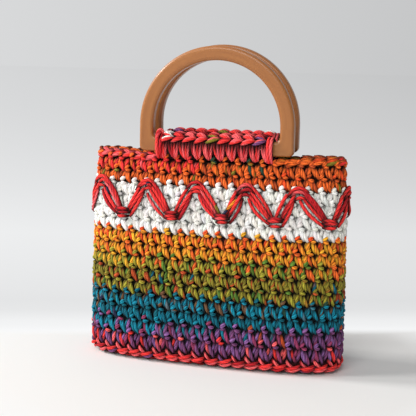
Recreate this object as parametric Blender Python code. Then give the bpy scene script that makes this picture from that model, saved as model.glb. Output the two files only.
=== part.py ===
"""Crochet handbag on an oval base, with two wooden D handles held in crochet casings at its mouth.

Metres, +Z up, front towards -Y. The origin is on the floor, under the middle of the base.
"""

import math

import bpy
import numpy as np

# Gaps between pieces that touch on the real bag
FIT_GAP = 0.0003
CASING_TO_CASING_GAP = 0.0009
CASING_END_GAP = 0.0004
BAR_CLEARANCE = 0.0004
LEG_CLEARANCE = 0.0008

# Yarn and stitches
STITCHES_AROUND = 44
WALL = 0.0075
SEAM_DEPTH = 0.0024
STITCH_GAP_DEPTH = 0.0019

# Body of the bag, measured over the crowns of the stitches
BASE_WIDTH = 0.212
RIM_WIDTH = 0.205
BASE_DEPTH = 0.064
PLAN_SQUARENESS = 3.0
LEAN_POWER = 2.2
PLAN_SAMPLES = 1440

# Base panel
BASE_HEIGHT = 0.010
BASE_EDGE_INSET = 0.011
BASE_CHAIN_DEPTH = 0.0012
BASE_CHAIN_HEIGHT = 0.007
BASE_EDGE_TURNS = (35, 65, 90)

# Chain worked round the mouth
RIM_HEIGHT = 0.0046
RIM_LINK_DEPTH = 0.0014

# Zigzag braid laid over the white rounds
ZIGZAGS = 11
STATIONS_PER_ZIGZAG = 8
ZIGZAG_PHASE = 2
BRAIDED_BAND = "white_rounds"
BRAID_WIDTH = 0.0085
BRAID_THICKNESS = 0.0038
BRAID_RISE = 0.0245
BRAID_ABOVE_BAND_MIDDLE = 0.0065
BRAID_SIDES = 6
MITRE_LIMIT = 1.35

# Wooden D handles
HANDLE_WIDTH = 0.126
HANDLE_HEIGHT = 0.0845
HANDLE_BAND = 0.0113
HANDLE_THICKNESS = 0.009
HANDLE_EDGE_RADIUS = 0.0025
HANDLE_EDGE_STEPS = 3
HANDLE_OUTER_CORNER = 0.0045
HANDLE_INNER_CORNER = 0.004
HANDLE_ARC_STEPS = 24
HANDLE_CORNER_STEPS = 4
REAR_HANDLE_LIFT = 0.0015

# Crochet casings round the bars of the handles
CASING_WALL = 0.003
CASING_STITCHES = 12
CASING_RIB = 0.0007
CASING_BRAID_HEIGHT = 0.0008
CASING_SIDES = 16

# Each band of rounds, from the base up: node name, number of rounds, height of a round, colour
BANDS = (
    ("purple_rounds", 2, 0.0118, (0.23, 0.05, 0.19)),
    ("teal_rounds", 2, 0.0107, (0.01, 0.21, 0.27)),
    ("green_rounds", 3, 0.0103, (0.30, 0.33, 0.03)),
    ("yellow_rounds", 2, 0.0098, (0.78, 0.30, 0.02)),
    ("white_rounds", 4, 0.0094, (0.78, 0.75, 0.70)),
    ("orange_rounds", 2, 0.0098, (0.72, 0.12, 0.02)),
)
RED_YARN = (0.55, 0.03, 0.04)
RIM_YARN = (0.62, 0.08, 0.03)
WOOD = (0.47, 0.22, 0.08)
YARN_ROUGHNESS = 0.85
WOOD_ROUGHNESS = 0.35

# What follows from the sizes above
COLUMNS = 2 * STITCHES_AROUND
BODY_TOP = BASE_HEIGHT + FIT_GAP + sum(rounds * tall + FIT_GAP for _, rounds, tall, _ in BANDS)
RIM_TOP = BODY_TOP + RIM_HEIGHT
SWING_RADIUS = HANDLE_EDGE_RADIUS + math.hypot(
    HANDLE_BAND / 2 - HANDLE_EDGE_RADIUS, HANDLE_THICKNESS / 2 - HANDLE_EDGE_RADIUS
)
BORE_RADIUS = (SWING_RADIUS + BAR_CLEARANCE) / math.cos(math.pi / CASING_SIDES)
CASING_RADIUS = BORE_RADIUS + CASING_WALL
HANDLE_SPACING = 2 * (CASING_RADIUS + CASING_RIB) + CASING_TO_CASING_GAP
RIM_DEPTH = HANDLE_SPACING + WALL
BAR_HEIGHT = RIM_TOP + SWING_RADIUS + LEG_CLEARANCE
HANDLE_INNER_HALF = HANDLE_WIDTH / 2 - HANDLE_BAND
CASING_HALF = HANDLE_INNER_HALF - HANDLE_INNER_CORNER - CASING_END_GAP


def clear_scene():
    """Removes the objects of the startup scene."""
    for thing in list(bpy.data.objects):
        bpy.data.objects.remove(thing)


def material(name, colour, roughness):
    """A plain Principled material."""
    made = bpy.data.materials.new(name)
    made.use_nodes = True
    shader = made.node_tree.nodes["Principled BSDF"]
    shader.inputs["Base Color"].default_value = (*colour, 1.0)
    shader.inputs["Roughness"].default_value = roughness
    shader.inputs["Metallic"].default_value = 0.0
    return made


def add_object(name, points, faces, look, place=(0.0, 0.0, 0.0)):
    """One named object whose mesh is measured from its own place."""
    mesh = bpy.data.meshes.new(name)
    mesh.from_pydata([tuple(point) for point in points], [], faces)
    mesh.materials.append(look)
    mesh.update()
    made = bpy.data.objects.new(name, mesh)
    made.location = place
    bpy.context.scene.collection.objects.link(made)
    return made


def closed_tube(loops):
    """Points and faces of a tube through equal closed loops, whose last loop joins the first."""
    count = len(loops[0])
    faces = []
    for row in range(len(loops)):
        after = (row + 1) % len(loops)
        for column in range(count):
            beside = (column + 1) % count
            faces.append(
                (row * count + column, row * count + beside, after * count + beside, after * count + column)
            )
    return np.concatenate(loops), faces


def capped_tube(loops):
    """Points and faces of a tube through equal closed loops, with a cap at each end."""
    count = len(loops[0])
    points, faces = closed_tube(loops)
    faces = faces[: (len(loops) - 1) * count]
    last = (len(loops) - 1) * count
    faces.append(tuple(reversed(range(count))))
    faces.append(tuple(range(last, last + count)))
    return points, faces


def share_of_height(height):
    """0 at the top of the base panel and 1 at the top of the rim."""
    return min(1.0, max(0.0, (height - BASE_HEIGHT) / (RIM_TOP - BASE_HEIGHT)))


def half_width(height):
    """Half the bag's width over the stitches at a height."""
    return (BASE_WIDTH + (RIM_WIDTH - BASE_WIDTH) * share_of_height(height) ** 2) / 2


def half_depth(height):
    """Half the bag's depth over the stitches: full at the base, drawn in to the casings at the rim."""
    return (BASE_DEPTH + (RIM_DEPTH - BASE_DEPTH) * share_of_height(height) ** LEAN_POWER) / 2


def plan_curve(height):
    """Dense points of the outline at a height, from the middle of the front round by the right, and their length."""
    turn = np.linspace(-math.pi / 2, 1.5 * math.pi, PLAN_SAMPLES + 1)
    power = 2 / PLAN_SQUARENESS
    x = half_width(height) * np.sign(np.cos(turn)) * np.abs(np.cos(turn)) ** power
    y = half_depth(height) * np.sign(np.sin(turn)) * np.abs(np.sin(turn)) ** power
    steps = np.hypot(np.diff(x), np.diff(y))
    return x, y, np.concatenate([[0.0], np.cumsum(steps)])


def plan_points(height, shares, insets):
    """Points on the outline at shares of its length, moved inwards by the insets, at the given height."""
    x, y, along = plan_curve(height)
    at = np.mod(shares, 1.0) * along[-1]
    px = np.interp(at, along, x)
    py = np.interp(at, along, y)
    power = PLAN_SQUARENESS - 1
    nx = np.sign(px) * np.abs(px / half_width(height)) ** power / half_width(height)
    ny = np.sign(py) * np.abs(py / half_depth(height)) ** power / half_depth(height)
    size = np.hypot(nx, ny)
    return np.stack(
        [px - insets * nx / size, py - insets * ny / size, np.full(len(px), height)], axis=1
    )


def column_shares():
    """The shares of the outline at which the stitches and the gaps between them stand."""
    return np.arange(COLUMNS) / COLUMNS


def crown_insets(round_number):
    """Insets along one round: stitch crowns and the gaps between them, which step on by half a stitch each round."""
    odd = (np.arange(COLUMNS) + round_number) % 2
    return odd * STITCH_GAP_DEPTH


def build_band(name, first_round, rounds, tall, bottom, look):
    """One ring of the wall, with a knobbed crown for each stitch and a groove between rounds."""
    seam = np.full(COLUMNS, SEAM_DEPTH)
    loops = [plan_points(bottom, column_shares(), seam)]
    for number in range(rounds):
        low = bottom + number * tall
        crowns = crown_insets(first_round + number)
        loops.append(plan_points(low + tall / 2, column_shares(), crowns))
        loops.append(plan_points(low + tall, column_shares(), seam))
    top = bottom + rounds * tall
    inner = np.full(COLUMNS, WALL)
    loops.append(plan_points(top, column_shares(), inner))
    loops.append(plan_points(bottom, column_shares(), inner))
    points, faces = closed_tube(loops)
    add_object(name, points, faces, look)


def build_base(look):
    """The oval panel that the bag stands on: flat below, with a chain round its rounded edge."""
    links = (np.arange(COLUMNS) % 2) * BASE_CHAIN_DEPTH
    loops = [plan_points(0.0, column_shares(), np.full(COLUMNS, BASE_EDGE_INSET))]
    for degrees in BASE_EDGE_TURNS:
        turn = math.radians(degrees)
        loop = plan_points(0.0, column_shares(), BASE_EDGE_INSET * (1 - math.sin(turn)) + links)
        loop[:, 2] = BASE_CHAIN_HEIGHT * (1 - math.cos(turn))
        loops.append(loop)
    top = plan_points(0.0, column_shares(), np.full(COLUMNS, SEAM_DEPTH))
    top[:, 2] = BASE_HEIGHT
    loops.append(top)
    points, faces = capped_tube(loops)
    add_object("base_panel", points, faces, look)


def share_at(x, height, rear):
    """The share of the outline at which it crosses x, on its front or its rear."""
    px, py, along = plan_curve(height)
    side = py > 0 if rear else py < 0
    order = np.argsort(px[side])
    found = np.interp(x, px[side][order], along[side][order] / along[-1])
    return float(found)


def build_rim(name, side, look):
    """Half of the chain round the mouth, from the front casing round one end of the bag to the rear casing."""
    middle = (BODY_TOP + RIM_TOP) / 2
    reach = side * (CASING_HALF + FIT_GAP)
    shares = [share_at(reach, middle, False), share_at(reach, middle, True)]
    if side < 0:
        shares = [shares[1], shares[0] if shares[0] > shares[1] else shares[0] + 1.0]
    links = 2 * round((shares[1] - shares[0]) * STITCHES_AROUND)
    stations = np.linspace(shares[0], shares[1], links + 1)
    link = (np.arange(links + 1) % 2) * RIM_LINK_DEPTH
    section = (
        (0.0, WALL - SEAM_DEPTH),
        (0.5, WALL),
        (1.0, WALL - SEAM_DEPTH),
        (1.0, SEAM_DEPTH),
        (0.5, 0.0),
        (0.0, SEAM_DEPTH),
    )
    rows = []
    for share, inset in section:
        depth = link if inset == 0.0 else np.zeros(links + 1)
        row = plan_points(middle, stations, inset + depth)
        row[:, 2] = BODY_TOP + share * RIM_HEIGHT
        rows.append(row)
    loops = list(np.stack(rows, axis=1))
    loops[0][:, 0] = reach
    loops[-1][:, 0] = reach
    points, faces = capped_tube(loops)
    add_object(name, points, faces, look)


def band_middle(wanted):
    """The height of the middle of a band of rounds."""
    bottom = BASE_HEIGHT + FIT_GAP
    for name, rounds, tall, _ in BANDS:
        if name == wanted:
            break
        bottom += rounds * tall + FIT_GAP
    return bottom + rounds * tall / 2


def zigzag_line():
    """Centre points of the braid, with the outward direction of the wall at each."""
    count = ZIGZAGS * STATIONS_PER_ZIGZAG
    shares = np.arange(count) / count
    phase = (np.arange(count) + ZIGZAG_PHASE) % STATIONS_PER_ZIGZAG / STATIONS_PER_ZIGZAG
    middle = band_middle(BRAIDED_BAND) + BRAID_ABOVE_BAND_MIDDLE
    heights = middle + BRAID_RISE * (np.abs(phase - 0.5) * 2 - 0.5)
    offset = -(FIT_GAP + BRAID_THICKNESS / 2)
    points, outward = [], []
    for share, height in zip(shares, heights):
        on_wall = plan_points(height, np.array([share]), np.zeros(1))[0]
        lifted = plan_points(height, np.array([share]), np.full(1, offset))[0]
        points.append(lifted)
        outward.append((lifted - on_wall) / np.linalg.norm(lifted - on_wall))
    return np.array(points), np.array(outward)


def build_zigzag(look):
    """The braid that zigzags right round the bag over the white rounds, as one closed strip."""
    centre, outward = zigzag_line()
    before = centre - np.roll(centre, 1, axis=0)
    after = np.roll(centre, -1, axis=0) - centre
    before /= np.linalg.norm(before, axis=1)[:, None]
    after /= np.linalg.norm(after, axis=1)[:, None]
    along = before + after
    along /= np.linalg.norm(along, axis=1)[:, None]
    across = np.cross(along, outward)
    across /= np.linalg.norm(across, axis=1)[:, None]
    mitre = np.minimum(MITRE_LIMIT, 1 / (along * after).sum(axis=1))
    loops = []
    for side in range(BRAID_SIDES):
        turn = 2 * math.pi * side / BRAID_SIDES
        wide = BRAID_WIDTH / 2 * math.cos(turn)
        thick = BRAID_THICKNESS / 2 * math.sin(turn) / math.cos(math.pi / BRAID_SIDES)
        loops.append(centre + across * (wide * mitre)[:, None] + outward * thick)
    points, faces = closed_tube(loops)
    add_object("zigzag_braid", points, faces, look)


def d_outline(radius, bottom, corner):
    """Points of one edge of the D in its own plane: over the arch from right to left, then along the bar."""
    arch_height = HANDLE_HEIGHT - HANDLE_WIDTH / 2 - HANDLE_BAND / 2
    over = np.linspace(0.0, math.pi, HANDLE_ARC_STEPS + 1)
    x = list(radius * np.cos(over))
    z = list(arch_height + radius * np.sin(over))
    for side, start in ((-1, math.pi), (1, 1.5 * math.pi)):
        turn = np.linspace(start, start + math.pi / 2, HANDLE_CORNER_STEPS + 1)
        x += list(side * (radius - corner) + corner * np.cos(turn))
        z += list(bottom + corner + corner * np.sin(turn))
    return np.array(x), np.array(z)


def build_handle(name, y, height, look):
    """A flat D of wood with rounded edges, whose origin is on the axis of its bar."""
    half = HANDLE_THICKNESS / 2
    outer = d_outline(HANDLE_WIDTH / 2, -HANDLE_BAND / 2, HANDLE_OUTER_CORNER)
    inner = d_outline(HANDLE_INNER_HALF, HANDLE_BAND / 2, HANDLE_INNER_CORNER)
    loops = []
    for (x, z), depth in ((outer, half), (outer, -half), (inner, -half), (inner, half)):
        loops.append(np.stack([x, np.full(len(x), depth), z], axis=1))
    points, faces = closed_tube(loops)
    handle = add_object(name, points, faces, look, (0.0, y, height))
    handle.data.shade_smooth()
    rounding = handle.modifiers.new("rounded_edges", "BEVEL")
    rounding.width = HANDLE_EDGE_RADIUS
    rounding.segments = HANDLE_EDGE_STEPS
    rounding.limit_method = "ANGLE"
    rounding.angle_limit = math.radians(60)
    return handle


def casing_profile(rib, drop):
    """The casing's outer section about the bar's axis, as y and z: a sleeve with a braid on top and a web below."""
    radius = CASING_RADIUS + rib
    half_web = WALL / 2
    start = math.asin(half_web / radius)
    turn = np.linspace(start, 2 * math.pi - start, CASING_SIDES - 2)
    over_top = np.abs(turn - math.pi) < 2 * math.pi / CASING_SIDES
    reach = radius + CASING_BRAID_HEIGHT * over_top
    y = np.concatenate([[half_web], reach * np.sin(turn), [-half_web]])
    z = np.concatenate([[-drop], -reach * np.cos(turn), [-drop]])
    return y, z


def build_casing(name, y, height, look):
    """The row of tall stitches worked round a handle's bar, as a ribbed sleeve with a round bore."""
    drop = height - BODY_TOP
    stations = np.linspace(-CASING_HALF, CASING_HALF, 2 * CASING_STITCHES + 1)
    loops = []
    for number, x in enumerate(stations):
        rib = CASING_RIB * (number % 2)
        py, pz = casing_profile(rib, drop)
        loops.append(np.stack([np.full(CASING_SIDES, x), py, pz], axis=1))
    turn = (np.arange(CASING_SIDES) + 0.5) * 2 * math.pi / CASING_SIDES
    for x in (CASING_HALF, -CASING_HALF):
        bore = [np.full(CASING_SIDES, x), BORE_RADIUS * np.sin(turn), -BORE_RADIUS * np.cos(turn)]
        loops.append(np.stack(bore, axis=1))
    points, faces = closed_tube(loops)
    add_object(name, points, faces, look, (0.0, y, height))


def main():
    """Builds every piece, from the base up."""
    clear_scene()
    red = material("red_yarn", RED_YARN, YARN_ROUGHNESS)
    rim = material("rim_yarn", RIM_YARN, YARN_ROUGHNESS)
    wood = material("varnished_wood", WOOD, WOOD_ROUGHNESS)
    build_base(red)
    done = 0
    bottom = BASE_HEIGHT + FIT_GAP
    for name, rounds, tall, colour in BANDS:
        build_band(name, done, rounds, tall, bottom, material(name, colour, YARN_ROUGHNESS))
        bottom += rounds * tall + FIT_GAP
        done += rounds
    build_rim("rim_chain_right", 1, rim)
    build_rim("rim_chain_left", -1, rim)
    build_zigzag(red)
    for end, side, lift in (("front", -1, 0.0), ("rear", 1, REAR_HANDLE_LIFT)):
        y = side * HANDLE_SPACING / 2
        build_casing(f"{end}_handle_casing", y, BAR_HEIGHT + lift, red)
        build_handle(f"{end}_handle", y, BAR_HEIGHT + lift, wood)


main()
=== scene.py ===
"""The looks of a small crochet handbag with two wooden D handles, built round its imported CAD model.

Metres, +Z up, front towards -Y. The origin is on the floor, under the middle of the base.
"""

import logging
import math
from dataclasses import dataclass, field
from enum import Enum
from functools import partial
from typing import Mapping, Optional, Sequence

import bpy
import numpy as np
from mathutils import Matrix, Vector


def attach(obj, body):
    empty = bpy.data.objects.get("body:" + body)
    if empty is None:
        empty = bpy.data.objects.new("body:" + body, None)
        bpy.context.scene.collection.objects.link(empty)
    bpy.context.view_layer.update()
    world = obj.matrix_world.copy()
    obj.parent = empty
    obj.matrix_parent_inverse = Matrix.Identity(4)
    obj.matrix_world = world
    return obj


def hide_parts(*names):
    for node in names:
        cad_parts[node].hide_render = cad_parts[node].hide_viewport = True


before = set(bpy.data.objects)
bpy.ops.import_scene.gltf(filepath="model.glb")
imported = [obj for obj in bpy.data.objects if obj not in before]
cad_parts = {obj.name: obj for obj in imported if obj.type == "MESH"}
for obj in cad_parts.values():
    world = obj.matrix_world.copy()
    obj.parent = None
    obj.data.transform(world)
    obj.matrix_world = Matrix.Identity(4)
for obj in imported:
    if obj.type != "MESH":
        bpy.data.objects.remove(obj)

Array = np.ndarray
Dice = np.random.Generator
Point = tuple[float, float, float]
Socket = bpy.types.NodeSocket
Tree = bpy.types.NodeTree

MM = 0.001
# Painted shade on the strands starts this far over the crowns and is full this much deeper.
PAINTED_SHADE_START = 0.35 * MM
PAINTED_SHADE_REACH = 1.5 * MM
TWIST_LENGTH = 0.010
TWIST_OFFSET = 0.618
OWN_CROWN = 1.0 * MM
RADIUS_JITTER = 0.05
CORE_COLUMNS = 176
BAR_Y = 0.0109112
FRONT_BAR_Z = 0.1764313
REAR_BAR_Z = 0.1779313
log = logging.getLogger("crochet_bag")


class Yarn(Enum):
    """The dyed yarns, as sRGB values from 0 to 255."""

    RED = (246, 56, 54)
    ROSE = (250, 98, 102)
    CRIMSON = (184, 26, 36)
    ORANGE = (248, 110, 42)
    FLAME = (244, 84, 34)
    RUST = (190, 78, 36)
    AMBER = (250, 150, 42)
    GOLD = (240, 174, 46)
    LIME = (162, 154, 50)
    OLIVE = (136, 124, 40)
    GREEN = (92, 130, 48)
    FOREST = (40, 74, 58)
    TEAL = (4, 100, 118)
    SKY = (14, 132, 158)
    PLUM = (120, 68, 116)
    VIOLET = (140, 94, 156)
    MAUVE = (150, 58, 96)
    NAVY = (44, 48, 80)
    BROWN = (118, 84, 58)
    WHITE = (248, 246, 241)

    def linear(self) -> Array:
        """The colour as linear light."""
        return to_linear(self.value)

    def both_plies(self) -> Array:
        """The linear colour twice, for a strand whose second ply is like its first."""
        return np.tile(self.linear(), 2)


RED, ROSE, CRIMSON, ORANGE, FLAME, RUST, AMBER, GOLD, LIME, OLIVE = list(Yarn)[:10]
GREEN, FOREST, TEAL, SKY, PLUM, VIOLET, MAUVE, NAVY, BROWN, WHITE = list(Yarn)[10:]


def to_linear(colour: Sequence[float]) -> Array:
    """Turns an sRGB colour from 0 to 255 into linear light from 0 to 1."""
    share = np.asarray(colour, float) / 255
    return np.where(share <= 0.04045, share / 12.92, ((share + 0.055) / 1.055) ** 2.4)


@dataclass
class BagSurface:
    """The skin over the crowns of the stitches, as a function of a share of the way round and a level.

    A share runs anticlockwise from above: 0 in the middle of the front, 0.25 at the right end. A level is a height on
    the wall. Below the foot's edge it goes on round the edge and then across the underside towards its middle.
    """

    base_width: float = 0.212
    rim_width: float = 0.205
    base_depth: float = 0.064
    rim_depth: float = 0.029322
    squareness: float = 3.0
    lean: float = 2.2
    foot: float = 0.010
    top: float = 0.1694
    wall: float = 0.0075
    stitches: int = 44
    edge_width: float = 0.009
    edge_height: float = 0.007
    edge_run: float = 0.008
    lowest: float = -0.0286
    columns: int = 1408
    samples: int = 2881
    share_step: float = 0.002
    level_step: float = 0.0012
    levels: Array = field(init=False, repr=False)
    table: Array = field(init=False, repr=False)

    def __post_init__(self) -> None:
        """Fills a table of outline points, one row for each level.

        Each row is the superellipse x = sgn(cos t)|cos t|^(2/n), y = sgn(sin t)|sin t|^(2/n), read at equal steps of
        its length once it is stretched to the level's half width and half depth.
        """
        self.levels = np.concatenate([np.linspace(self.lowest, 0.006, 24), np.linspace(0.008, self.top + 0.004, 30)])
        turn = np.linspace(-math.pi / 2, 1.5 * math.pi, self.samples)
        unit = np.stack([np.cos(turn), np.sin(turn)])
        unit = np.sign(unit) * np.abs(unit) ** (2 / self.squareness)
        across, deep, _ = self.profile(self.levels)
        steps = np.diff(unit, axis=1)[None] * np.stack([across, deep], axis=1)[:, :, None]
        length = np.concatenate([np.zeros((len(across), 1)), np.cumsum(np.hypot(*np.moveaxis(steps, 1, 0)), axis=1)], 1)
        wanted = np.linspace(0.0, 1.0, self.columns + 1)
        self.table = np.array(
            [[np.interp(wanted * row[-1], row, axis) for axis in unit] for row in length]
        ).transpose(0, 2, 1)

    def profile(self, level: Array) -> tuple[Array, Array, Array]:
        """The half widths, half depths and heights of the skin at some levels.

        Above the edge the level is the height: with s its share of the way up, the half width goes as s squared and
        the half depth as s to the power lean. The edge is a quarter ellipse, and the underside is flat.
        """
        turn = np.clip((self.edge_height - level) / self.edge_run, 0.0, math.pi / 2)
        flat = np.maximum(self.edge_height - math.pi / 2 * self.edge_run - level, 0.0)
        inset = self.edge_width * (1 - np.cos(turn)) + flat
        height = np.where(level > self.edge_height, level, self.edge_height * (1 - np.sin(turn)))
        share = np.clip((level - self.foot) / (self.top - self.foot), 0.0, 1.0)
        across = (self.base_width + (self.rim_width - self.base_width) * share**2) / 2
        deep = (self.base_depth + (self.rim_depth - self.base_depth) * share**self.lean) / 2
        return across - inset, deep - inset, height

    def skin(self, share: Array, level: Array) -> Array:
        """Points on the skin, read from the table between its four nearest entries."""
        share, level = np.broadcast_arrays(share, level)
        row = np.interp(level, self.levels, np.arange(len(self.levels)))
        low = np.minimum(row.astype(int), len(self.levels) - 2)
        up = (row - low)[..., None]
        column = np.mod(share, 1.0) * self.columns
        left = np.minimum(column.astype(int), self.columns - 1)
        on = (column - left)[..., None]
        below = self.table[low, left] * (1 - on) + self.table[low, left + 1] * on
        above = self.table[low + 1, left] * (1 - on) + self.table[low + 1, left + 1] * on
        unit = below * (1 - up) + above * up
        across, deep, height = self.profile(level)
        return np.stack([unit[..., 0] * across, unit[..., 1] * deep, height], axis=-1)

    def place(self, share: Array, level: Array, out: Array) -> tuple[Array, Array]:
        """Points a distance outside the skin, and the skin's outward direction there.

        The direction is the cross product of the skin's slopes along the round and up the wall.

        Args:
            share: shares of the way round.
            level: levels, in metres.
            out: distances outwards from the skin, in metres, negative inside it.

        Returns:
            The points and the unit directions.
        """
        along = self.skin(share + self.share_step, level) - self.skin(share - self.share_step, level)
        up = self.skin(share, level + self.level_step) - self.skin(share, level - self.level_step)
        outward = np.cross(along, up)
        outward /= np.linalg.norm(outward, axis=-1)[..., None]
        return self.skin(share, level) + outward * np.asarray(out)[..., None], outward

    def shell(self, levels: Array, outside: float, inside: float) -> Array:
        """Loops of a closed shell between two depths under the skin: up its outer face, then down its inner one."""
        share = np.arange(CORE_COLUMNS) / CORE_COLUMNS
        outer = [self.place(share, level, -outside)[0] for level in levels]
        inner = [self.place(share, level, -inside)[0] for level in levels[::-1]]
        return np.array(outer + inner)


class Stitch:
    """The visible lengths of yarn in one stitch."""

    def __init__(
        self, *strands: tuple[float, ...], tips: float | tuple[float, ...] = 0.34, inward: int = 0
    ) -> None:
        """Keeps the strands' numbers as arrays.

        Args:
            strands: for each strand the three points that it runs through, its radius in millimetres and which of
                the two yarns held together it is. A point is a share of the stitch's width, a share of the round's
                height and a distance outwards in millimetres.
            tips: the shares of the full thickness at the strands' ends.
            inward: how many of the last strands face inwards.
        """
        table = np.array(strands)
        self.knots = table[:, :9].reshape(-1, 3, 3)
        self.radius = table[:, 9]
        self.yarn = table[:, 10].astype(int)
        self.tips = np.broadcast_to(tips, len(table))[:, None]
        self.facing = np.where(np.arange(len(table)) < len(table) - inward, 1.0, -1.0)[:, None, None]

    def copies(self, count: int) -> tuple[Array, Array]:
        """The points of some copies, as copy by strand by point by coordinate, and which yarn each strand is."""
        return np.tile(self.knots, (count, 1, 1, 1)), np.tile(self.yarn, (count, 1))

    def radii(self, count: int, steps: int, dice: Dice, fat: float = 1.0) -> Array:
        """Thicknesses along the strands of some copies, like grains of rice: tip + (1 - tip) sin(pi t)^0.6."""
        radius = self.radius * fat * MM * (1 + dice.normal(0.0, RADIUS_JITTER, (count, len(self.radius))))
        belly = np.sin(np.linspace(0.0, math.pi, steps)) ** 0.6
        return radius[..., None] * (self.tips + (1 - self.tips) * belly)


STITCH = Stitch(
    (0.03, 1.04, -2.9, 0.13, 0.52, -1.2, 0.36, -0.02, -2.8, 1.54, 0),
    (0.25, 0.92, -2.9, 0.41, 0.36, -0.85, 0.65, -0.15, -2.7, 1.58, 1),
    (0.71, 0.96, -2.9, 0.63, 0.64, -1.4, 0.54, 0.26, -3.0, 1.42, 0),
    (0.9, 1.02, -2.9, 0.82, 0.55, -1.1, 0.67, 0.04, -2.9, 1.52, 1),
    (-0.07, 1.12, -2.5, 0.06, 1.25, -0.55, 0.19, 1.38, -2.5, 1.6, 0),
    (-0.01, 1.0, -2.5, 0.16, 0.96, -0.6, 0.33, 0.97, -2.6, 1.44, 1),
    tips=(0.42, 0.42, 0.42, 0.42, 0.72, 0.68),
)
INSIDE_STITCH = Stitch(
    (0.05, 1.02, -3.0, 0.25, 0.5, -1.6, 0.6, 0.0, -3.0, 1.7, 0),
    (0.95, 0.98, -3.0, 0.85, 0.55, -1.7, 0.66, 0.1, -3.0, 1.7, 1),
    (-0.1, 1.15, -3.0, 0.16, 1.15, -1.5, 0.42, 1.15, -3.0, 1.6, 1),
    tips=(0.34, 0.34, 0.5),
    inward=3,
)
EDGE_CHAIN = Stitch(
    (-0.15, 0.44, -2.6, 0.45, 0.6, -0.5, 1.05, 0.9, -2.4, 1.55, 0),
    (-0.1, 0.16, -2.6, 0.5, 0.3, -0.6, 1.1, 0.62, -2.4, 1.5, 1),
    (0.1, 0.0, -2.8, 0.6, -0.16, -1.6, 1.1, -0.24, -3.0, 1.4, 0),
    (-0.02, 1.3, -2.8, 0.14, 0.98, -0.6, 0.52, 0.66, -2.4, 1.35, 1),
)
UNDERSIDE_STITCH = Stitch(
    (0.0, 1.06, -3.6, 0.2, 0.5, -2.0, 0.54, -0.08, -3.6, 2.0, 0),
    (0.36, 0.98, -3.8, 0.42, 0.6, -2.6, 0.56, 0.16, -3.8, 1.7, 0),
    (0.98, 1.04, -3.6, 0.84, 0.5, -2.0, 0.6, -0.04, -3.6, 2.0, 1),
    tips=0.5,
)
BIG_LINK = Stitch(
    (-0.2, -0.26, -2.6, 0.5, 0.18, -0.4, 1.2, 0.7, -2.7, 1.5, 0),
    (-0.22, 0.1, -2.8, 0.5, 0.54, -0.5, 1.16, 0.94, -3.0, 1.5, 1),
    (-0.15, 0.46, -3.8, 0.45, 0.82, -2.4, 1.05, 0.9, -4.0, 1.35, 0),
    (-0.1, 0.3, -5.6, 0.5, 0.7, -5.0, 1.1, 0.8, -4.2, 1.45, 1),
    (0.0, -0.1, -7.0, 0.5, 0.16, -6.3, 1.05, 0.4, -6.8, 1.5, 0),
    inward=2,
)
SMALL_LINK = Stitch(
    (-0.16, -0.28, -2.5, 0.45, 0.06, -0.4, 1.08, 0.5, -2.7, 1.5, 0),
    (-0.14, 0.06, -2.8, 0.48, 0.36, -0.7, 1.1, 0.74, -2.8, 1.35, 1),
    (-0.06, 0.94, -3.0, 0.36, 0.78, -1.5, 0.92, 0.42, -3.0, 1.42, 1),
    (-0.1, 0.3, -5.6, 0.5, 0.7, -5.0, 1.1, 0.8, -4.2, 1.45, 0),
    (0.0, -0.1, -7.0, 0.5, 0.16, -6.3, 1.05, 0.4, -6.8, 1.5, 1),
    inward=2,
)
ZIGZAG = Stitch(
    (0.05, 0.12, 1.2, 0.155, 0.55, 2.0, 0.26, 0.92, 1.6, 1.52, 0),
    (0.105, 0.08, 1.3, 0.245, 0.52, 2.4, 0.37, 0.88, 1.8, 1.54, 1),
    (0.15, -0.08, 1.2, 0.295, 0.32, 1.9, 0.37, 0.74, 1.0, 1.48, 0),
    (0.53, 1.08, 2.2, 0.765, 0.65, 2.5, 0.97, 0.08, 1.4, 1.56, 1),
    (0.51, 0.98, 1.9, 0.725, 0.58, 2.0, 0.94, 0.04, 1.3, 1.46, 0),
    (0.5, 0.84, 1.5, 0.695, 0.43, 2.0, 0.95, 0.0, 1.3, 1.48, 1),
    (0.47, 0.74, 1.4, 0.63, 0.32, 1.8, 0.89, -0.03, 1.2, 1.46, 0),
    (0.22, 0.8, 1.2, 0.42, 1.13, 3.0, 0.62, 0.98, 1.8, 1.5, 1),
    (0.29, 0.8, 1.0, 0.46, 1.01, 3.2, 0.62, 0.86, 1.6, 1.42, 0),
    (0.34, 0.76, 0.8, 0.45, 0.86, 2.6, 0.57, 0.78, 1.2, 1.32, 1),
    (-0.16, 0.14, 1.0, 0.0, 0.14, 4.0, 0.15, 0.14, 1.0, 1.42, 0),
    (-0.17, 0.02, 0.8, -0.01, 0.03, 4.2, 0.15, 0.03, 1.0, 1.48, 1),
    (-0.13, -0.09, 0.6, 0.0, -0.09, 3.6, 0.13, -0.07, 0.8, 1.42, 0),
    tips=(0.8,) * 7 + (0.7, 0.7, 0.6) + (0.65,) * 3,
)
ZIGZAG_FLECKS = (
    (-3, NAVY, (0.55, 0.84, 1.8, 0.585, 0.7, 2.6, 0.62, 0.54, 1.8, 1.2, 0)),
    (-2, NAVY, (0.38, 0.92, 2.0, 0.44, 1.0, 3.4, 0.5, 1.02, 2.6, 1.2, 0)),
    (-1, OLIVE, (0.82, 0.52, 2.2, 0.88, 0.36, 3.0, 0.95, 0.14, 2.0, 1.3, 0)),
    (0, AMBER, (0.06, 0.26, 1.8, 0.18, 0.48, 3.2, 0.32, 0.78, 1.8, 1.4, 0)),
    (0, NAVY, (0.05, 0.18, 2.4, 0.09, 0.25, 3.6, 0.14, 0.34, 2.4, 1.2, 0)),
    (1, CRIMSON, (0.1, 0.1, 2.0, 0.22, 0.5, 3.0, 0.36, 0.84, 2.0, 1.2, 0)),
)
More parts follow.
